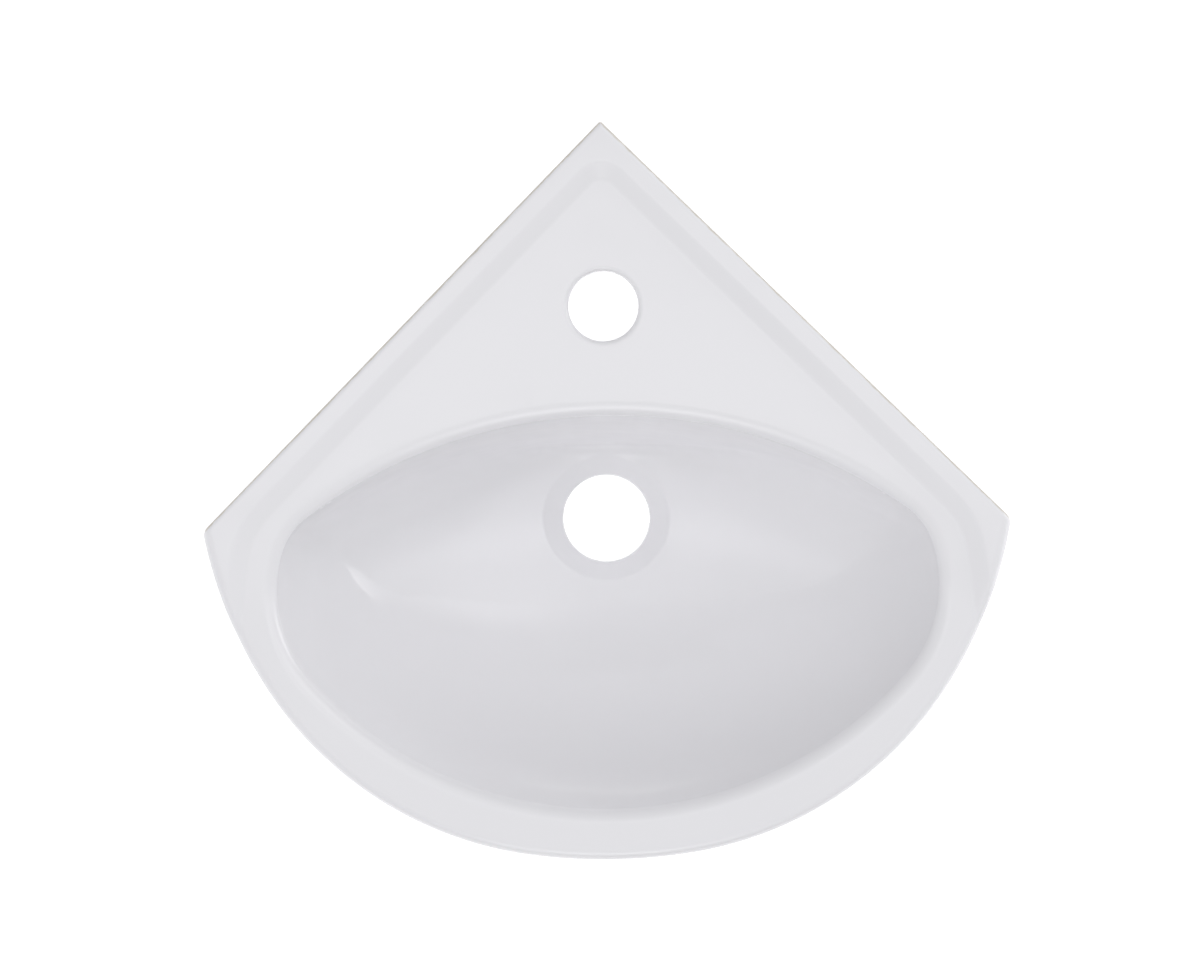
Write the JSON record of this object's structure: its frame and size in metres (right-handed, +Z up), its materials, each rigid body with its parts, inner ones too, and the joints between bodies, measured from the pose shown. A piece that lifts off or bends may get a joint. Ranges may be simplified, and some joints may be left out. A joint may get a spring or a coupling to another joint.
{
  "type": "corner basin",
  "caption": "Small wall-hung hand basin for the corner of a room: right-angled back, curved front, oval bowl, open tap hole and waste hole.",
  "frame": {"origin": "the corner of the room, where the two wall faces meet, at the height of the deck around the tap hole", "axes": "+X to the right along the front as seen by the user, -Y out of the corner towards the user, +Z up; the walls run from the origin at 45 degrees to each side"},
  "size_m": [0.4024, 0.3668, 0.145],
  "materials": {
    "glaze": "gloss white glaze",
    "nylon": "moulded natural nylon",
    "plated_steel": "zinc plated"
  },
  "bodies": {
    "root": {"basin_body": "glaze", "fixing_bush_left": "nylon", "fixing_washer_left": "plated_steel", "fixing_nut_left": "plated_steel", "fixing_bush_right": "nylon", "fixing_washer_right": "plated_steel", "fixing_nut_right": "plated_steel"}
  },
  "joints": []
}
